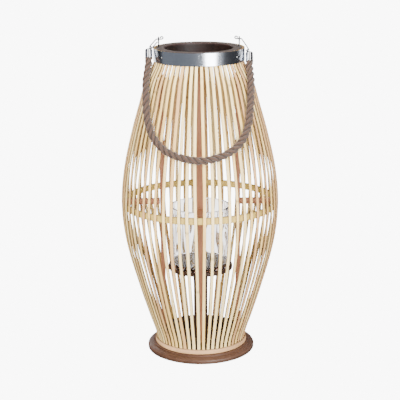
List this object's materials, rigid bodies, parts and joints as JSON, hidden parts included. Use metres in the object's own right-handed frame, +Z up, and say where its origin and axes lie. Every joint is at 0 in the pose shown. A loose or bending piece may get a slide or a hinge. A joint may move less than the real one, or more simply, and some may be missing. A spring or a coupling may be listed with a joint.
{
  "type": "bamboo candle lantern",
  "caption": "Barrel-shaped bamboo slat lantern on a round wood base, with a glass candle cylinder inside and a rope bail handle.",
  "frame": {"origin": "middle of the base's underside, on the floor", "axes": "+Z up along the lantern's axis; the rope handle lies on the front slats, which face -Y; +X to the right seen from the front"},
  "size_m": [0.292, 0.2927, 0.5941],
  "materials": {
    "bamboo": "natural split bamboo, pale and slightly uneven",
    "bamboo_band": "natural bent bamboo strip, satin",
    "stained_wood": "brown stained wood, satin, fine grain",
    "top_wood": "grey-brown stained wood, matt",
    "collar_steel": "thin bright sheet, polished",
    "fastener_steel": "zinc plated",
    "hardware_chrome": "polished",
    "clear_glass": "clear, slightly wavy",
    "rope_fibre": "three-strand twisted fibre rope, matt"
  },
  "bodies": {
    "lantern_frame": {"base_disc": "stained_wood", "bottom_ring": "stained_wood", "center_column": "stained_wood", "platform": "stained_wood", "post_front": "stained_wood", "post_right": "stained_wood", "post_back": "stained_wood", "post_left": "stained_wood", "spoke_front": "stained_wood", "spoke_right": "stained_wood", "spoke_back": "stained_wood", "spoke_left": "stained_wood", "top_ring": "top_wood", "collar_band": "collar_steel", "lower_band": "bamboo_band", "middle_hoop": "bamboo_band", "slats_01": "bamboo", "slats_02": "bamboo", "slats_03": "bamboo", "slats_04": "bamboo", "slats_05": "bamboo", "slats_06": "bamboo", "slats_07": "bamboo", "slats_08": "bamboo", "slats_09": "bamboo", "slats_10": "bamboo", "slats_11": "bamboo", "slats_12": "bamboo", "slats_13": "bamboo", "slats_14": "bamboo", "slats_15": "bamboo", "slats_16": "bamboo", "slats_17": "bamboo", "slats_18": "bamboo", "slats_19": "bamboo", "slats_20": "bamboo", "base_screw_front": "fastener_steel", "base_screw_right": "fastener_steel", "base_screw_back": "fastener_steel", "base_screw_left": "fastener_steel", "column_screw": "fastener_steel", "platform_screw": "fastener_steel", "collar_nail_1": "fastener_steel", "collar_nail_2": "fastener_steel", "collar_nail_3": "fastener_steel", "collar_nail_4": "fastener_steel", "screw_eye_left": "hardware_chrome", "screw_eye_right": "hardware_chrome"},
    "glass": {"glass_cylinder": "clear_glass"},
    "handle": {"link_left": "hardware_chrome", "link_right": "hardware_chrome", "rope_cap_left": "hardware_chrome", "rope_cap_right": "hardware_chrome", "rope_handle": "rope_fibre"}
  },
  "joints": [
    {"name": "handle_swing", "type": "hinge", "parent": "lantern_frame", "child": "handle", "pos_m": [0, 0, 0.589], "axis": [-1, 0, 0], "range_deg": [0, 275]},
    {"name": "glass_lift", "type": "slide", "parent": "lantern_frame", "child": "glass", "axis": [0, 0, 1], "range_m": [0, 0.42]}
  ]
}
